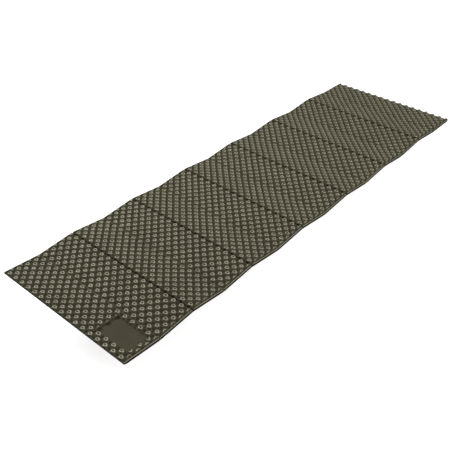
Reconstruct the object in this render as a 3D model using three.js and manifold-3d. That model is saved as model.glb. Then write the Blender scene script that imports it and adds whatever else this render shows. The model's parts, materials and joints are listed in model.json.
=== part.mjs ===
// Folding foam sleeping pad. One sheet of closed-cell foam is moulded into fourteen egg-crate panels,
// with a thin pressed crease between each panel and the next, so that it folds like an accordion.
// Millimetres, +Z up. +X runs across the pad and +Y along it, from the end with the blank patch.
// The origin is under the middle of the pad, at the level of its lowest point.
import * as THREE from "three";
import { mergeVertices } from "three/addons/utils/BufferGeometryUtils.js";
import Module from "manifold-3d";

// The egg-crate lattice: bumps and dips take turns along and across, one cell apart.
const CELL = 16.2;
const CELLS_ACROSS = 34;
const ROWS = 8;
const SHEET = 10;
const RISE = 5;
const RIM = 4.6;
const RIM_BUMP_SHARE = 0.35;

// The folds. A valley folds the pad's tops together, and its axis lies on top of the sheet.
// A ridge folds the undersides together, and its axis lies under the sheet. They take turns.
const PANELS = 14;
const FOLD_GAP = 3.4;
const NEST_GAP = 0.3;
const CREASE_WIDTH = 2.4;
const CREASE_THICKNESS = 1.4;
const CREASE_SIDES = 12;

// How the pad lies at rest: a shallow zigzag, its first panel a little lifted and its last one flat.
const PANEL_TILT = THREE.MathUtils.degToRad(5.65);
const FIRST_TILT = THREE.MathUtils.degToRad(3.5);
const LAST_TILT = 0;

// The blank patch on the first panel, counted in cells from the lattice's corner.
const PATCH_FROM_COLUMN = 24.75;
const PATCH_TO_COLUMN = 33;
const PATCH_FROM_ROW = 2;
const PATCH_TO_ROW = 7;
const PATCH_THICKNESS = 5;

const PANEL_LENGTH = ROWS * CELL;
const LATTICE_WIDTH = CELLS_ACROSS * CELL;
const AXIS_HEIGHT = (SHEET + NEST_GAP) / 2;
const FIRST_HALF = PANELS / 2;

const FOAM_COLOUR = 0x5c5948;
const CREASE_COLOUR = 0x4a4737;

const wasm = await Module();
wasm.setup();

// Where the lattice's columns and rows of points lie, with the flat rim's outer line on each side.
function columnPlaces() {
  const places = [-RIM];
  for (let column = 0; column <= CELLS_ACROSS; column++) {
    places.push(column * CELL);
  }
  places.push(LATTICE_WIDTH + RIM);
  return places.map((x) => x - LATTICE_WIDTH / 2);
}

function rowPlaces() {
  const places = [0];
  for (let row = 0; row < ROWS; row++) {
    places.push((row + 0.5) * CELL);
  }
  places.push(PANEL_LENGTH);
  return places;
}

// Height of the sheet's middle surface at a point: up at a bump, down at a dip, level at the rim.
function levelAt(i, j, lastColumn, lastRow) {
  if (i === 0 || j === 0 || i === lastColumn || j === lastRow) {
    return 0;
  }
  const besideRim = i === 1 || i === lastColumn - 1;
  const share = besideRim ? RIM_BUMP_SHARE : 1;
  return (i + j) % 2 === 1 ? RISE * share : -RISE * share;
}

// One panel's egg-crate sheet, lying level with its near edge on y = 0 and its middle on z = 0.
// Panels take turns between ridged and grooved facets, so that a folded pair nests face to face.
function eggCrate(ridged) {
  const xs = columnPlaces();
  const ys = rowPlaces();
  const lastColumn = xs.length - 1;
  const lastRow = ys.length - 1;
  const level = (i, j) => levelAt(i, j, lastColumn, lastRow);
  const points = [];
  const faces = [];
  for (const side of [1, -1]) {
    for (let j = 0; j <= lastRow; j++) {
      for (let i = 0; i <= lastColumn; i++) {
        points.push(xs[i], ys[j], level(i, j) + (side * SHEET) / 2);
      }
    }
  }
  const top = (i, j) => j * xs.length + i;
  const bottom = (i, j) => xs.length * ys.length + top(i, j);
  const quad = (a, b, c, d) => faces.push(a, b, c, a, c, d);
  for (let j = 0; j < lastRow; j++) {
    for (let i = 0; i < lastColumn; i++) {
      const across = level(i, j) + level(i + 1, j + 1);
      const against = level(i + 1, j) + level(i, j + 1);
      if (across > against === ridged) {
        quad(top(i, j), top(i + 1, j), top(i + 1, j + 1), top(i, j + 1));
        quad(bottom(i, j), bottom(i, j + 1), bottom(i + 1, j + 1), bottom(i + 1, j));
      } else {
        quad(top(i + 1, j), top(i + 1, j + 1), top(i, j + 1), top(i, j));
        quad(bottom(i, j + 1), bottom(i + 1, j + 1), bottom(i + 1, j), bottom(i, j));
      }
    }
  }
  for (let i = 0; i < lastColumn; i++) {
    quad(bottom(i, 0), bottom(i + 1, 0), top(i + 1, 0), top(i, 0));
    quad(top(i, lastRow), top(i + 1, lastRow), bottom(i + 1, lastRow), bottom(i, lastRow));
  }
  for (let j = 0; j < lastRow; j++) {
    quad(top(0, j), top(0, j + 1), bottom(0, j + 1), bottom(0, j));
    quad(bottom(lastColumn, j), bottom(lastColumn, j + 1), top(lastColumn, j + 1), top(lastColumn, j));
  }
  const geometry = new THREE.BufferGeometry();
  geometry.setAttribute("position", new THREE.Float32BufferAttribute(points, 3));
  geometry.setIndex(faces);
  return geometry;
}

function toSolid(geometry) {
  const bare = geometry.clone();
  bare.deleteAttribute("normal");
  bare.deleteAttribute("uv");
  const merged = mergeVertices(bare, 1e-4);
  const vertProperties = merged.attributes.position.array;
  const triVerts = new Uint32Array(merged.index.array);
  return new wasm.Manifold(new wasm.Mesh({ numProp: 3, vertProperties, triVerts }));
}

function toGeometry(solid) {
  const mesh = solid.getMesh();
  const geometry = new THREE.BufferGeometry();
  geometry.setAttribute("position", new THREE.BufferAttribute(mesh.vertProperties, 3));
  geometry.setIndex(new THREE.BufferAttribute(mesh.triVerts, 1));
  return geometry;
}

// A block over the patch's outline, between two heights.
function patchBlock(low, high) {
  const width = (PATCH_TO_COLUMN - PATCH_FROM_COLUMN) * CELL;
  const length = (PATCH_TO_ROW - PATCH_FROM_ROW) * CELL;
  const block = new THREE.BoxGeometry(width, length, high - low);
  const x = ((PATCH_FROM_COLUMN + PATCH_TO_COLUMN) / 2) * CELL - LATTICE_WIDTH / 2;
  const y = ((PATCH_FROM_ROW + PATCH_TO_ROW) / 2) * CELL;
  block.translate(x, y, (low + high) / 2);
  return toSolid(block);
}

// The first panel has a rectangle pressed flat on both faces, deep enough for the next panel's bumps.
function patchedSheet(sheet) {
  const plate = patchBlock(-PATCH_THICKNESS, 0);
  const above = patchBlock(0, SHEET + RISE);
  const below = patchBlock(-SHEET - RISE, -PATCH_THICKNESS);
  return toGeometry(toSolid(sheet).add(plate).subtract(above).subtract(below));
}

function numbered(name, number) {
  return name + "_" + String(number).padStart(2, "0");
}

function makePanel(number) {
  const sheet = eggCrate(number % 2 === 1);
  const geometry = number === 1 ? patchedSheet(sheet) : sheet;
  geometry.computeVertexNormals();
  const material = new THREE.MeshStandardMaterial({ color: FOAM_COLOUR, roughness: 0.85, metalness: 0 });
  material.flatShading = true;
  const panel = new THREE.Mesh(geometry, material);
  panel.name = numbered("panel", number);
  return panel;
}

// The pressed crease, a thin flat-oval strip along the fold's axis for the pad's whole width.
function makeCrease(number) {
  const outline = new THREE.Shape();
  outline.absellipse(0, 0, CREASE_WIDTH / 2, CREASE_THICKNESS / 2, 0, 2 * Math.PI, false, 0);
  const width = LATTICE_WIDTH + 2 * RIM;
  const options = { depth: width, steps: 1, bevelEnabled: false, curveSegments: CREASE_SIDES };
  const geometry = new THREE.ExtrudeGeometry(outline, options);
  geometry.translate(0, 0, -width / 2);
  geometry.rotateZ(Math.PI / 2);
  geometry.rotateY(Math.PI / 2);
  const material = new THREE.MeshStandardMaterial({ color: CREASE_COLOUR, roughness: 0.9, metalness: 0 });
  const crease = new THREE.Mesh(geometry, material);
  crease.name = numbered("crease", number);
  return crease;
}

// How far a panel's far edge stands up from level at rest. Odd panels slope down, even ones up.
function tiltOf(number) {
  if (number === 1) {
    return -FIRST_TILT;
  }
  if (number === PANELS) {
    return LAST_TILT;
  }
  return number % 2 === 1 ? -PANEL_TILT : PANEL_TILT;
}

// Each panel hangs from the one before it by the fold between them, as the pad itself does.
function buildPad() {
  const pad = new THREE.Group();
  let holder = new THREE.Group();
  holder.rotation.x = tiltOf(1);
  pad.add(holder);
  holder.add(makePanel(1));
  for (let fold = 1; fold < PANELS; fold++) {
    const turn = tiltOf(fold + 1) - tiltOf(fold);
    const axisHeight = fold % 2 === 1 ? AXIS_HEIGHT : -AXIS_HEIGHT;
    const before = new THREE.Group();
    before.position.set(0, PANEL_LENGTH + FOLD_GAP / 2, axisHeight);
    holder.add(before);
    const after = new THREE.Group();
    after.rotation.x = turn;
    before.add(after);
    const creaseSide = fold < FIRST_HALF ? after : before;
    creaseSide.add(makeCrease(fold));
    const next = new THREE.Group();
    next.position.set(0, FOLD_GAP / 2, -axisHeight);
    after.add(next);
    next.add(makePanel(fold + 1));
    holder = next;
  }
  pad.updateMatrixWorld(true);
  const box = new THREE.Box3().setFromObject(pad, true);
  const middle = box.getCenter(new THREE.Vector3());
  pad.position.set(-middle.x, -middle.y, -box.min.z);
  return pad;
}

export default buildPad();
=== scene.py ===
import json
import math

import bpy
import numpy as np
from mathutils import Matrix, Vector


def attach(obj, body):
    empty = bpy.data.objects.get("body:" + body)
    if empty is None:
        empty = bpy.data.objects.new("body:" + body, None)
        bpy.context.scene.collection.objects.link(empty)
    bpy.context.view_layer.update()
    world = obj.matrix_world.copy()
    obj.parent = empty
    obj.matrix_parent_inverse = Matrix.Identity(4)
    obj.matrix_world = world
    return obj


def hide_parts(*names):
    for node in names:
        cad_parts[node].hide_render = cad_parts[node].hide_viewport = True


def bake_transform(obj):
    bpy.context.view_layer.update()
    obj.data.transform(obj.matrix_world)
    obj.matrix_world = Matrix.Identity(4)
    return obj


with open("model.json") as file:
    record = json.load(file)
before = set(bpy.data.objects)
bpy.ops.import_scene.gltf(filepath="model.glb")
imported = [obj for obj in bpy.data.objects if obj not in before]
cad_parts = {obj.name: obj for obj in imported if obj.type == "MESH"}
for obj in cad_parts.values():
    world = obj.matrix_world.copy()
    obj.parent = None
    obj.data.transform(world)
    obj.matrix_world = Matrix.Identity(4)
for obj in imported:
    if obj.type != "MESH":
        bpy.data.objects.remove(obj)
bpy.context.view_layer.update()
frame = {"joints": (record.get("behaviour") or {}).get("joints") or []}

MM = 0.001
PANELS = 14

# The egg-crate lattice, as in the CAD source.
CELL = 16.2
CELLS_ACROSS = 34
ROWS = 8
HALF_SHEET = 5.0
RISE = 5.0
RIM = 4.6
FOLD_GAP = 3.4
AXIS_HEIGHT = 5.15
PANEL_LENGTH = ROWS * CELL
LATTICE_WIDTH = CELLS_ACROSS * CELL
HALF_WIDTH = LATTICE_WIDTH / 2 + RIM

# The blank patch on the first panel, in cells.
PATCH_COLUMNS = (24.75, 33)
PATCH_ROWS = (2, 7)
PATCH_TOP = 0.2
PATCH_BOTTOM = -5.0
PATCH_WALL = 0.8

# How raised the skin of the plainer places counts as, on the scale that the foam material colours by:
# -1 in the dips for painted shade, 0 on the sheet, 1 on the bumps for painted light, and more than 1 for a
# painted highlight. The walls take the dips' painted shade and the rounded edges along the long sides a
# painted highlight.
PATCH_RAISED = -0.51
RIM_RAISED = -0.47
EDGE_HIGHLIGHT = 1.6
WALL_SHADE = -1.0
CREASE_RAISED = -0.4

# Shape of a bump and of the dimple in its top.
ROUNDNESS = 2.2
SHOULDER = 5.0
NECK_DEPTH = 3.2
NECK_RADIUS = 3.0
DIMPLE_RADIUS = (6.4, 5.2)
DIMPLE_DEPTH = 4.0
DIMPLE_SHADE = 0.52
DIMPLE_SHIFT = 0.5
DIMPLE_DEPTH_RANGE = (0.7, 1.15)
DIMPLE_WIDTH_RANGE = (0.85, 1.1)
# A painted highlight round each dimple's brim: where it lies, how wide it is and how strong.
BRIM_AT = 0.95
BRIM_WIDTH = 0.19
BRIM_SHINE = 0.7

# Painted light on each bump: pale over an oval, longer across the pad than along it, and painted shade
# outside it.
LIT_OVAL_RADIUS = (9.2, 6.6)
LIT_OVAL_EDGE = (0.75, 1.15)
LIT_LEVEL_OFFSET = 0.4
LIT_OVAL_FALL = 1.3

# Along both long sides the bumps fade out into a flat rim. The skin is drawn in a little where they do,
# so that two folded panels stay clear of each other there.
RIM_FLAT = 3.4
RIM_FADE = 2.6
RIM_PINCH = 0.6

# Grid lines: how far from the outline on the rim, and how far from a bump's middle elsewhere.
RIM_STEPS = (1.7, 2.6)
STEPS_IN_HALF_CELL = (1.5, 3.0, 4.4, 5.7, 6.9, 8.1)

# The ends: where two panels meet at a ridge the last bumps are cut off part way down and the row is a
# little lower. At a valley they are cut off in the same way on the underside.
CUT_ROW = 0.96
END_DROP = 0.4
END_REACH = 10.0

# The pad's two free ends are thinner: their undersides are cut back on a slope.
FREE_END_BOTTOM = -1.8
FREE_END_SLOPE = 0.3

# Rounding of a panel's outer edges: how far in from the outline, and how far below the surface.
EDGE_STEPS = ((0.9, 0.0), (0.25, 0.35), (0.0, 1.1))
WALL_HOLLOW = 0.6

# The pressed creases. At a valley a strip's two outer edges go deeper, to close the notch in the side.
CREASE_THICKNESS = 1.3
CREASE_SIDE_DEPTH = 9.0
CREASE_GRIP = 1.6
CREASE_INSET = 0.5
CREASE_AXIS_GAP = 0.1
CREASE_STEPS = 12
CREASE_STEPS_PER_CELL = 4

# Edges sharper than these angles, in degrees, are shaded sharp.
PANEL_SHARP_ANGLE = 50
CREASE_SHARP_ANGLE = 40

SEED = 621


def smoothstep(t):
    """0 below 0 and 1 above 1, with an easy curve between them."""
    t = np.clip(t, 0, 1)
    return t * t * (3 - 2 * t)


def ridge_ends(number):
    """Whether a panel's near end and far end meet a neighbour at a ridge."""
    return number > 1 and number % 2 == 1, number < PANELS and number % 2 == 0


def valley_ends(number):
    """Whether a panel's near end and far end meet a neighbour at a valley."""
    return number > 1 and number % 2 == 0, number < PANELS and number % 2 == 1


def cut_above(number):
    """Whether the bumps on top are cut off at the near end and the far end: at ridges and at free ends."""
    near_ridge, far_ridge = ridge_ends(number)
    return near_ridge or number == 1, far_ridge or number == PANELS


def crate(u, v, cut_ends):
    """The egg crate: round-shouldered bumps at +1 and dips at -1, taking turns from cell to cell.
    A folded pair nests, because a dip is a bump upside down."""
    row = np.clip(np.floor(v / CELL), 0, ROWS - 1)
    column = np.round(u / CELL)
    from_u = np.abs(u / CELL - column) * 2
    from_v = np.abs(v / CELL - row - 0.5) * 2
    if cut_ends[0]:
        from_v = np.where(v < CELL / 2, from_v * CUT_ROW, from_v)
    if cut_ends[1]:
        from_v = np.where(v > PANEL_LENGTH - CELL / 2, from_v * CUT_ROW, from_v)
    reach = (from_u**ROUNDNESS + from_v**ROUNDNESS) ** (1 / ROUNDNESS)
    rise = 1 - np.minimum(reach, 1) ** SHOULDER
    return np.where((column + row) % 2 == 1, rise, -rise)


def grooves(u, v):
    """The necks between bumps that meet corner to corner are pinched a little."""
    from_u = (u / CELL - 0.5 - np.round(u / CELL - 0.5)) * CELL
    from_v = (v / CELL - np.round(v / CELL)) * CELL
    return NECK_DEPTH * np.exp(-(from_u**2 + from_v**2) / NECK_RADIUS**2)


def nearest_centre(u, v, bumps):
    """Column and row of the nearest bump (or dip) to each point."""
    row = np.clip(np.floor(v / CELL), 0, ROWS - 1).astype(int)
    start = (row + 1) % 2 if bumps else row % 2
    column = (2 * np.round((u / CELL - start) / 2) + start).astype(int)
    return np.clip(column, -1, CELLS_ACROSS + 1), row


def dimples(u, v, bumps, vary):
    """How deep the dimple is at each point, on top or on the underside, and how near its brim is."""
    column, row = nearest_centre(u, v, bumps)
    shift_u, shift_v, depth, width = (a[row, column + 1] for a in vary)
    from_u = u - column * CELL - shift_u
    from_v = v - (row + 0.5) * CELL - shift_v
    reach = np.hypot(from_u / DIMPLE_RADIUS[0], from_v / DIMPLE_RADIUS[1]) / width
    brim = np.exp(-(((reach - BRIM_AT) / BRIM_WIDTH) ** 2))
    return DIMPLE_DEPTH * depth * (1 - smoothstep(reach)), brim


def painted_light_and_shade(u, v, bumps, level):
    """How pale the skin is painted, from painted shade at -1 in the dips to painted light at 1 over the
    oval on each bump, given the surface's level between the same two.
    """
    column, row = nearest_centre(u, v, bumps)
    from_u = u - column * CELL
    from_v = v - (row + 0.5) * CELL
    reach = np.hypot(from_u / LIT_OVAL_RADIUS[0], from_v / LIT_OVAL_RADIUS[1])
    oval = 1 - LIT_OVAL_FALL * smoothstep((reach - LIT_OVAL_EDGE[0]) / (LIT_OVAL_EDGE[1] - LIT_OVAL_EDGE[0]))
    return np.minimum(level + LIT_LEVEL_OFFSET, oval)


def bump_variation(rng):
    """Small differences from one bump to the next: dimple place, depth and width."""
    shape = (ROWS, CELLS_ACROSS + 3)
    return (
        rng.uniform(-DIMPLE_SHIFT, DIMPLE_SHIFT, shape),
        rng.uniform(-DIMPLE_SHIFT, DIMPLE_SHIFT, shape),
        rng.uniform(*DIMPLE_DEPTH_RANGE, shape),
        rng.uniform(*DIMPLE_WIDTH_RANGE, shape),
    )


def side_fade(u):
    """0 on the flat rim along both long sides, 1 over the bumps."""
    inside = np.minimum(u + RIM, LATTICE_WIDTH + RIM - u)
    return smoothstep((inside - RIM_FLAT) / RIM_FADE)


def shape_ends(top, bottom, v, number):
    """Lowers the top a little at ridges, and cuts the underside back on a slope at the pad's free ends."""
    from_far = PANEL_LENGTH - v
    near_ridge, far_ridge = ridge_ends(number)
    if near_ridge:
        top -= END_DROP * smoothstep(1 - v / END_REACH)
    if far_ridge:
        top -= END_DROP * smoothstep(1 - from_far / END_REACH)
    if number == 1:
        np.maximum(bottom, FREE_END_BOTTOM - FREE_END_SLOPE * v, out=bottom)
    if number == PANELS:
        np.maximum(bottom, FREE_END_BOTTOM - FREE_END_SLOPE * from_far, out=bottom)


def in_patch(u, v):
    """Which points lie on the flat of the blank patch."""
    left, right = (c * CELL for c in PATCH_COLUMNS)
    near, far = (r * CELL for r in PATCH_ROWS)
    edge = PATCH_WALL / 2
    return (u > left + edge) & (u < right - edge) & (v > near + edge) & (v < far - edge)


def sheet(u, v, rng, number):
    """Heights of a panel's top and bottom over the grid of points, and how raised their skins are."""
    fade = side_fade(u)
    rise_above = RISE * crate(u, v, cut_above(number)) * fade
    rise_below = RISE * crate(u, v, valley_ends(number)) * fade
    neck = grooves(u, v) * fade
    pinch = RIM_PINCH * 4 * fade * (1 - fade)
    dimple_above, brim_above = (a * fade for a in dimples(u, v, True, bump_variation(rng)))
    dimple_below, brim_below = (a * fade for a in dimples(u, v, False, bump_variation(rng)))
    top = HALF_SHEET + rise_above - neck - dimple_above - pinch
    bottom = -HALF_SHEET + rise_below + neck + dimple_below + pinch
    shape_ends(top, bottom, v, number)
    # Painted light and shade: the pale oval on each bump, the dark dips, a painted highlight round each
    # dimple's brim and painted shade inside the dimple.
    above = painted_light_and_shade(u, v, True, (rise_above - neck) / RISE)
    below = painted_light_and_shade(u, v, False, (-rise_below - neck) / RISE)
    above += BRIM_SHINE * brim_above * (above > 0) - DIMPLE_SHADE * dimple_above
    below += BRIM_SHINE * brim_below * (below > 0) - DIMPLE_SHADE * dimple_below
    raised = [RIM_RAISED + (level - RIM_RAISED) * fade for level in (above, below)]
    if number == 1:
        inside = in_patch(u, v)
        top[inside] = PATCH_TOP
        bottom[inside] = PATCH_BOTTOM
        raised[0][inside] = PATCH_RAISED
    return top, bottom, raised


def grid_lines(number):
    """Grid lines across and along a panel, closest together round each bump's middle."""
    half = np.array(STEPS_IN_HALF_CELL)
    inset = EDGE_STEPS[0][0]
    across = [n * CELL + s * d for n in range(CELLS_ACROSS + 1) for s in (-1, 1) for d in half]
    across += [n * CELL for n in range(CELLS_ACROSS + 1)]
    across = [a for a in across if 0 <= a <= LATTICE_WIDTH]
    rim = [a - RIM for a in (inset, *RIM_STEPS, RIM_FLAT)]
    across += rim + [LATTICE_WIDTH - a for a in rim]
    along = [(r + 0.5) * CELL + s * d for r in range(ROWS) for s in (-1, 1) for d in half]
    along += [(r + 0.5) * CELL for r in range(ROWS)]
    along = [a for a in along if 2 * inset < a < PANEL_LENGTH - 2 * inset]
    along += [inset, 2 * inset, PANEL_LENGTH - 2 * inset, PANEL_LENGTH - inset]
    if number == 1:
        across += [c * CELL for c in PATCH_COLUMNS]
        across += [PATCH_COLUMNS[0] * CELL + PATCH_WALL, PATCH_COLUMNS[1] * CELL - PATCH_WALL]
        along += [PATCH_ROWS[0] * CELL + PATCH_WALL, PATCH_ROWS[1] * CELL - PATCH_WALL]
    return np.unique(np.round(across, 4)), np.unique(np.round(along, 4))


def perimeter(columns, rows):
    """Grid indices round the outline, counterclockwise from the near left corner."""
    near = [(0, i) for i in range(columns - 1)]
    right = [(j, columns - 1) for j in range(rows - 1)]
    far = [(rows - 1, i) for i in range(columns - 1, 0, -1)]
    left = [(j, 0) for j in range(rows - 1, 0, -1)]
    return np.array(near + right + far + left)


def grid_quads(rows, columns):
    """Quads of two grids of points, one after the other: the upper faces up and the lower faces down."""
    index = np.arange(rows * columns).reshape(rows, columns)
    a, b, c, d = index[:-1, :-1], index[:-1, 1:], index[1:, 1:], index[1:, :-1]
    up = np.stack([a, b, c, d], -1).reshape(-1, 4)
    down = np.stack([a, d, c, b], -1).reshape(-1, 4) + rows * columns
    return [up, down]


def wall_quads(above, below):
    """Quads between two rings of points, the second one lower."""
    return np.stack([above, below, np.roll(below, -1), np.roll(above, -1)], -1)


def wall_rings(high, low, on_side, on_end):
    """Rings of points down a panel's walls, which are rounded at both edges and hollowed half way down,
    each with how raised its skin is: a painted highlight on the rounding along the long sides and painted
    shade on the rest of the walls."""
    steps = [(inset, drop, 1) for inset, drop in EDGE_STEPS[1:]]
    steps += [(WALL_HOLLOW, 0, 0)]
    steps += [(inset, drop, -1) for inset, drop in reversed(EDGE_STEPS[1:])]
    outward = np.where(high[:, 1] < PANEL_LENGTH / 2, -1, 1)
    edges = {1: high, 0: (high + low) / 2, -1: low}
    for inset, drop, side in steps:
        ring = high.copy()
        ring[on_side, 0] = np.sign(high[on_side, 0]) * (HALF_WIDTH - inset)
        ring[on_end, 1] += ((EDGE_STEPS[0][0] - inset) * outward)[on_end]
        ring[:, 2] = edges[side][:, 2] - side * drop
        lit = on_side & (side != 0) & (inset > 0)
        yield ring, np.where(lit, EDGE_HIGHLIGHT, WALL_SHADE)


def panel_arrays(number):
    """Points (x, y, z in mm), quads and how raised each point is, for one panel lying level."""
    rng = np.random.RandomState(SEED + number)
    u, v = np.meshgrid(*grid_lines(number))
    top, bottom, raised = sheet(u, v, rng, number)
    rows, columns = u.shape
    x = u - LATTICE_WIDTH / 2
    points = [np.stack([x, v, z], -1).reshape(-1, 3) for z in (top, bottom)]
    # A painted highlight along the outermost grid lines of both long sides, top and bottom.
    for level in raised:
        level[:, [0, -1]] = EDGE_HIGHLIGHT
    raised = [level.ravel() for level in raised]
    border = perimeter(columns, rows)
    border_index = border[:, 0] * columns + border[:, 1]
    on_side = (border[:, 1] == 0) | (border[:, 1] == columns - 1)
    on_end = (border[:, 0] == 0) | (border[:, 0] == rows - 1)
    rings = [border_index]
    total = 2 * rows * columns
    for ring, level in wall_rings(points[0][border_index], points[1][border_index], on_side, on_end):
        points.append(ring)
        raised.append(level)
        rings.append(np.arange(total, total + len(ring)))
        total += len(ring)
    rings.append(border_index + rows * columns)
    walls = [wall_quads(above, below) for above, below in zip(rings[:-1], rings[1:])]
    quads = np.concatenate(grid_quads(rows, columns) + walls)
    return np.concatenate(points), quads, np.concatenate(raised)


def panel_places():
    """Each panel's tilt and the (y, z) of its near edge's middle, in mm, from the frame's own joints."""
    joints = {j["name"]: j for j in frame["joints"]}
    hinge, rest = {}, {}
    for fold in range(1, PANELS):
        joint = joints[f"fold_{fold:02d}"]
        hinge[fold] = np.array(joint["pos_m"][1:]) / MM
        rest[fold] = math.radians(-joint["range_deg"][0])
    height = {fold: AXIS_HEIGHT if fold % 2 else -AXIS_HEIGHT for fold in range(0, PANELS + 1)}
    tilt = {}
    for number in range(2, PANELS):
        span = hinge[number] - hinge[number - 1]
        level = height[number] - height[number - 1]
        tilt[number] = math.atan2(span[1], span[0]) - math.atan2(level, PANEL_LENGTH + FOLD_GAP)
    tilt[1] = tilt[2] - rest[1]
    tilt[PANELS] = tilt[PANELS - 1] + rest[PANELS - 1]
    places = {}
    for number in range(1, PANELS + 1):
        if number > 1:
            fold, local_y = number - 1, -FOLD_GAP / 2
        else:
            fold, local_y = 1, PANEL_LENGTH + FOLD_GAP / 2
        cos, sin = math.cos(tilt[number]), math.sin(tilt[number])
        arm = np.array([cos * local_y - sin * height[fold], sin * local_y + cos * height[fold]])
        places[number] = (tilt[number], hinge[fold] - arm)
    return places, hinge


def place_points(points, tilt, origin):
    """Local panel points in mm to the row frame in metres."""
    cos, sin = math.cos(tilt), math.sin(tilt)
    placed = np.empty_like(points)
    placed[:, 0] = points[:, 0]
    placed[:, 1] = origin[0] + cos * points[:, 1] - sin * points[:, 2]
    placed[:, 2] = origin[1] + sin * points[:, 1] + cos * points[:, 2]
    return placed * MM


def make_mesh(name, points, quads, raised, material, sharp_angle):
    """A smooth-shaded mesh object of quads, with how raised each point is as an attribute."""
    mesh = bpy.data.meshes.new(name)
    mesh.vertices.add(len(points))
    mesh.vertices.foreach_set("co", points.astype(np.float32).ravel())
    mesh.loops.add(quads.size)
    mesh.loops.foreach_set("vertex_index", quads.astype(np.int32).ravel())
    mesh.polygons.add(len(quads))
    mesh.polygons.foreach_set("loop_start", np.arange(0, quads.size, 4, dtype=np.int32))
    mesh.update(calc_edges=True)
    mesh.polygons.foreach_set("use_smooth", np.ones(len(quads), dtype=bool))
    attribute = mesh.attributes.new("raised", "FLOAT", "POINT")
    attribute.data.foreach_set("value", raised.astype(np.float32))
    mesh.set_sharp_from_angle(angle=math.radians(sharp_angle))
    mesh.materials.append(material)
    mesh.validate()
    made = bpy.data.objects.new(name, mesh)
    bpy.context.scene.collection.objects.link(made)
    return made


# Materials


def node(tree, kind, **inputs):
    """A new node with some of its inputs set by name."""
    made = tree.nodes.new(kind)
    for key, value in inputs.items():
        made.inputs[key.replace("_", " ")].default_value = value
    return made


def noise(tree, coordinates, scale, detail=3.0, roughness=0.55):
    """A noise value at each point."""
    made = node(tree, "ShaderNodeTexNoise", Scale=scale, Detail=detail, Roughness=roughness)
    tree.links.new(coordinates, made.inputs["Vector"])
    return made.outputs["Fac"]


def spread(tree, value, low, high, to_low, to_high):
    """A value stretched from one range onto another and held within it."""
    made = tree.nodes.new("ShaderNodeMapRange")
    made.clamp = True
    for key, number in (("From Min", low), ("From Max", high), ("To Min", to_low), ("To Max", to_high)):
        made.inputs[key].default_value = number
    tree.links.new(value, made.inputs["Value"])
    return made.outputs["Result"]


def mix_colour(tree, factor, first, second, blend="MIX"):
    """Two colours mixed; each is a plain colour or another node's output, and so is the factor."""
    made = tree.nodes.new("ShaderNodeMix")
    made.data_type = "RGBA"
    made.blend_type = blend
    for socket, value in ((made.inputs[6], first), (made.inputs[7], second)):
        if isinstance(value, tuple):
            socket.default_value = (*value, 1.0)
        else:
            tree.links.new(value, socket)
    if isinstance(factor, float):
        made.inputs[0].default_value = factor
    else:
        tree.links.new(factor, made.inputs[0])
    return made.outputs[2]


def bump(tree, height, strength, distance, normal=None):
    """Normals tilted by a height value, on top of any that are already tilted."""
    made = node(tree, "ShaderNodeBump", Strength=strength, Distance=distance)
    tree.links.new(height, made.inputs["Height"])
    if normal is not None:
        tree.links.new(normal, made.inputs["Normal"])
    return made.outputs["Normal"]


# How the foam's skin changes with how raised it is: from the dips' painted shade to the sheet's own
# colour, the bumps' painted light and the brims' painted highlight, and from dull to smooth.
DIP_TO_SHEET = (-0.75, -0.35)
SHEET_TO_BUMP = (-0.2, 0.6)
BUMP_TO_BRIM = (0.9, 1.6)
DULL_TO_SMOOTH = (-0.1, 0.4)
DULL_ROUGHNESS = (0.5, 0.0)
SPECULAR_LEVEL = (0.12, 0.5)

# Its mottling, grain and pores: how many to the metre, which part of the noise counts, how much they
# shade it, and how deep they are in metres.
MOTTLE_SCALE = 14.0
MOTTLE_PART = (0.35, 0.65)
MOTTLE_SHADES = (0.93, 1.06)
GRAIN_SCALE = 420.0
GRAIN_PART = (0.35, 0.7)
GRAIN_ROUGHNESS_PART = (0.3, 0.7)
GRAIN_SHADES = (0.84, 1.14)
GRAIN_DEPTH = 0.0006
GRAIN_STRENGTH = 0.25
GRAIN_ROUGHNESS = (-0.05, 0.07)
PORE_SCALE = 900.0
PORE_DEPTH = 0.0004


def combine(tree, operation, first, second):
    """One value from two, by adding or multiplying them."""
    made = tree.nodes.new("ShaderNodeMath")
    made.operation = operation
    tree.links.new(first, made.inputs[0])
    tree.links.new(second, made.inputs[1])
    return made.outputs[0]


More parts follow.
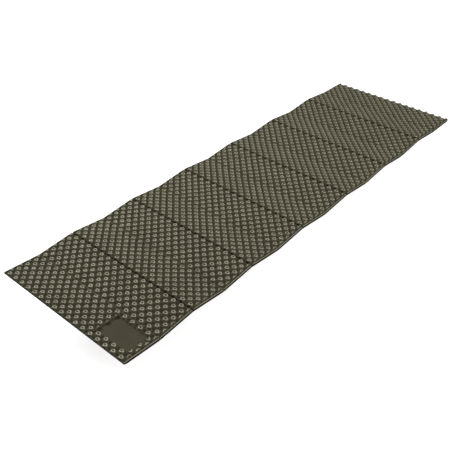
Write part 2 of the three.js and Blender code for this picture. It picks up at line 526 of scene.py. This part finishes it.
def foam_material(name, low, mid, high, brim, roughness, pores):
    """Closed-cell foam with its moulded skin: painted shade in the dips, painted light on the bumps and a
    painted highlight round their dimples, and finely pitted."""
    material = bpy.data.materials.new(name)
    material.use_nodes = True
    tree = material.node_tree
    surface = tree.nodes["Principled BSDF"]
    place = tree.nodes.new("ShaderNodeTexCoord").outputs["Object"]
    mottle = noise(tree, place, MOTTLE_SCALE, 4.0)
    grain = noise(tree, place, GRAIN_SCALE, 3.0, 0.6)
    cells = tree.nodes.new("ShaderNodeTexVoronoi")
    cells.inputs["Scale"].default_value = PORE_SCALE
    tree.links.new(place, cells.inputs["Vector"])
    raised = tree.nodes.new("ShaderNodeAttribute")
    raised.attribute_name = "raised"
    height = raised.outputs["Fac"]
    colour = mix_colour(tree, spread(tree, height, *DIP_TO_SHEET, 0.0, 1.0), low, mid)
    colour = mix_colour(tree, spread(tree, height, *SHEET_TO_BUMP, 0.0, 1.0), colour, high)
    colour = mix_colour(tree, spread(tree, height, *BUMP_TO_BRIM, 0.0, 1.0), colour, brim)
    speck = spread(tree, grain, *GRAIN_PART, *GRAIN_SHADES)
    patchy = spread(tree, mottle, *MOTTLE_PART, *MOTTLE_SHADES)
    shade = combine(tree, "MULTIPLY", speck, patchy)
    tint = tree.nodes.new("ShaderNodeCombineColor")
    for channel in range(3):
        tree.links.new(shade, tint.inputs[channel])
    colour = mix_colour(tree, 1.0, colour, tint.outputs[0], "MULTIPLY")
    tree.links.new(colour, surface.inputs["Base Color"])
    rough_range = [roughness + change for change in GRAIN_ROUGHNESS]
    rough = spread(tree, grain, *GRAIN_ROUGHNESS_PART, *rough_range)
    dull = spread(tree, height, *DULL_TO_SMOOTH, *DULL_ROUGHNESS)
    tree.links.new(combine(tree, "ADD", rough, dull), surface.inputs["Roughness"])
    specular = spread(tree, height, *DULL_TO_SMOOTH, *SPECULAR_LEVEL)
    tree.links.new(specular, surface.inputs["Specular IOR Level"])
    fine = bump(tree, cells.outputs["Distance"], pores, PORE_DEPTH)
    fine = bump(tree, grain, GRAIN_STRENGTH, GRAIN_DEPTH, fine)
    tree.links.new(fine, surface.inputs["Normal"])
    return material


FLOOR_COLOUR = (0.6, 0.6, 0.6, 1.0)
FLOOR_ROUGHNESS = 0.9
FLOOR_LIFT = 0.8


def floor_material():
    """Pale paper. The camera sees it a little lifted, as under its own lamps, and the pad doesn't."""
    material = bpy.data.materials.new("floor_paper")
    material.use_nodes = True
    tree = material.node_tree
    surface = tree.nodes["Principled BSDF"]
    surface.inputs["Base Color"].default_value = FLOOR_COLOUR
    surface.inputs["Roughness"].default_value = FLOOR_ROUGHNESS
    surface.inputs["Emission Color"].default_value = (1.0, 1.0, 1.0, 1.0)
    path = tree.nodes.new("ShaderNodeLightPath")
    lift = spread(tree, path.outputs["Is Camera Ray"], 0.0, 1.0, 0.0, FLOOR_LIFT)
    tree.links.new(lift, surface.inputs["Emission Strength"])
    return material


# The foam's colours: painted shade in the dips, the sheet's own colour, painted light on the bumps and a
# painted highlight round the dimples' brims.
SHADED_DIP_COLOUR = (0.026, 0.024, 0.014)
SHEET_COLOUR = (0.085, 0.078, 0.049)
LIT_BUMP_COLOUR = (0.104, 0.096, 0.058)
BRIM_HIGHLIGHT_COLOUR = (0.50, 0.48, 0.35)
moulded = (SHADED_DIP_COLOUR, SHEET_COLOUR, LIT_BUMP_COLOUR, BRIM_HIGHLIGHT_COLOUR)
flattened = (SHADED_DIP_COLOUR, SHEET_COLOUR, SHEET_COLOUR, SHEET_COLOUR)
foam = foam_material("foam_skin", *moulded, roughness=0.34, pores=0.3)
pressed = foam_material("pressed_foam_skin", *flattened, roughness=0.5, pores=0.2)

# The panels

places, hinges = panel_places()
for number in range(1, PANELS + 1):
    points, quads, raised = panel_arrays(number)
    tilt, origin = places[number]
    placed = place_points(points, tilt, origin)
    panel = make_mesh(f"foam_panel_{number:02d}", placed, quads, raised, foam, PANEL_SHARP_ANGLE)
    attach(panel, f"section_{number:02d}")
    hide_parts(f"panel_{number:02d}")


# The creases


def crease_arrays(fold):
    """A thin pressed strip that bends from one panel to the next and grips a little way into both."""
    side = 1 if fold % 2 else -1
    first, second = places[fold][0], places[fold + 1][0]
    reach = FOLD_GAP / 2 + CREASE_GRIP
    along = np.linspace(-reach, reach, CREASE_STEPS + 1)
    turn = first + (second - first) * smoothstep((along + FOLD_GAP / 2) / FOLD_GAP)
    half_width = HALF_WIDTH - CREASE_INSET
    across = np.linspace(-half_width, half_width, CELLS_ACROSS * CREASE_STEPS_PER_CELL + 1)
    gap_to_axis = AXIS_HEIGHT - HALF_SHEET + CREASE_AXIS_GAP
    u = across + LATTICE_WIDTH / 2
    neck = grooves(u, np.zeros_like(u)) * side_fade(u)
    thickness = np.full(len(across), CREASE_THICKNESS)
    thickness[[0, -1]] = CREASE_SIDE_DEPTH if side > 0 else CREASE_THICKNESS
    outer = -side * (gap_to_axis + neck)
    inner = -side * (gap_to_axis + neck + thickness)
    points = []
    for depth in (np.maximum(outer, inner)[None, :], np.minimum(outer, inner)[None, :]):
        y = hinges[fold][0] + np.cos(turn)[:, None] * along[:, None] - np.sin(turn)[:, None] * depth
        z = hinges[fold][1] + np.sin(turn)[:, None] * along[:, None] + np.cos(turn)[:, None] * depth
        x = np.broadcast_to(across, y.shape)
        points.append(np.stack([x, y, z], -1).reshape(-1, 3))
    rows, columns = len(along), len(across)
    border = perimeter(columns, rows)
    above = border[:, 0] * columns + border[:, 1]
    wall = wall_quads(above, above + rows * columns)
    quads = np.concatenate(grid_quads(rows, columns) + [wall])
    return np.concatenate(points) * MM, quads


for fold in range(1, PANELS):
    points, quads = crease_arrays(fold)
    raised = np.full(len(points), CREASE_RAISED)
    crease = make_mesh(f"foam_crease_{fold:02d}", points, quads, raised, pressed, CREASE_SHARP_ANGLE)
    middle = Vector((0, *hinges[fold])) * MM
    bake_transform(crease)
    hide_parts(f"crease_{fold:02d}")

# The floor, a wide pale disc. Half the pad swings down when a middle fold is opened flat, and the floor
# lies just below the farthest that it reaches, so that it hides nothing at any pose.

FLOOR_RADIUS = 30.0
FLOOR_SIDES = 96
FLOOR_CLEARANCE = 0.005
most_opening = max(math.radians(-joint["range_deg"][0]) for joint in frame["joints"])
half_pad = PANELS / 2 * (PANEL_LENGTH + FOLD_GAP) * MM
floor_height = -half_pad * math.sin(most_opening) - FLOOR_CLEARANCE
angles = np.linspace(0, 2 * np.pi, FLOOR_SIDES, endpoint=False)
ring = [(FLOOR_RADIUS * math.cos(a), FLOOR_RADIUS * math.sin(a), floor_height) for a in angles]
floor_mesh = bpy.data.meshes.new("studio_floor")
floor_mesh.from_pydata(ring, [], [list(range(FLOOR_SIDES))])
floor = bpy.data.objects.new("studio_floor", floor_mesh)
floor_mesh.materials.append(floor_material())
bpy.context.scene.collection.objects.link(floor)


# Light


def softbox(name, azimuth, elevation, distance, width, power):
    """A square area light aimed at the pad's middle. Its azimuth turns from -Y towards +X."""
    turn, rise = math.radians(azimuth), math.radians(elevation)
    way = Vector((math.sin(turn) * math.cos(rise), -math.cos(turn) * math.cos(rise), math.sin(rise)))
    lamp = bpy.data.lights.new(name, "AREA")
    lamp.shape = "SQUARE"
    lamp.size = width
    lamp.energy = power
    made = bpy.data.objects.new(name, lamp)
    made.location = way * distance
    made.rotation_mode = "QUATERNION"
    made.rotation_quaternion = (-way).to_track_quat("-Z", "Y")
    bpy.context.scene.collection.objects.link(made)
    return made


softbox("key_light", azimuth=-60, elevation=40, distance=3.0, width=1.2, power=84)
softbox("fill_light", azimuth=110, elevation=40, distance=3.0, width=1.2, power=40)
softbox("top_light", azimuth=20, elevation=80, distance=3.2, width=2.4, power=10)

SKY_SEEN = 0.95
SKY_LIGHT = 0.2


def studio_world():
    """A white sky that lights the pad softly and is brighter where the camera sees it."""
    world = bpy.data.worlds.new("studio")
    world.use_nodes = True
    sky = world.node_tree
    background = sky.nodes["Background"]
    seen = sky.nodes.new("ShaderNodeBackground")
    for shader, strength in ((background, SKY_LIGHT), (seen, SKY_SEEN)):
        shader.inputs["Color"].default_value = (1, 1, 1, 1)
        shader.inputs["Strength"].default_value = strength
    path = sky.nodes.new("ShaderNodeLightPath")
    choose = sky.nodes.new("ShaderNodeMixShader")
    sky.links.new(path.outputs["Is Camera Ray"], choose.inputs[0])
    sky.links.new(background.outputs[0], choose.inputs[1])
    sky.links.new(seen.outputs[0], choose.inputs[2])
    sky.links.new(choose.outputs[0], sky.nodes["World Output"].inputs["Surface"])
    return world


bpy.context.scene.world = studio_world()

# Camera: looks down along the pad from beyond the corner by the blank patch

LENS = 52.81
SENSOR = 36.0
CAMERA_PLACE = Vector((1.27175, -1.63787, 1.35713))
CAMERA_FORWARD = Vector((-0.53513, 0.59939, -0.59529))
CAMERA_RIGHT = Vector((0.74755, 0.66420, -0.00322))

camera_data = bpy.data.cameras.new("camera")
camera_data.lens = LENS
camera_data.sensor_width = SENSOR
camera = bpy.data.objects.new("camera", camera_data)
bpy.context.scene.collection.objects.link(camera)
back = -CAMERA_FORWARD.normalized()
upward = back.cross(CAMERA_RIGHT).normalized()
sideways = upward.cross(back)
turned = Matrix((sideways, upward, back)).transposed().to_4x4()
camera.matrix_world = Matrix.Translation(CAMERA_PLACE) @ turned
bpy.context.scene.camera = camera

bpy.context.scene.view_settings.view_transform = "Standard"
bpy.context.scene.view_settings.look = "None"
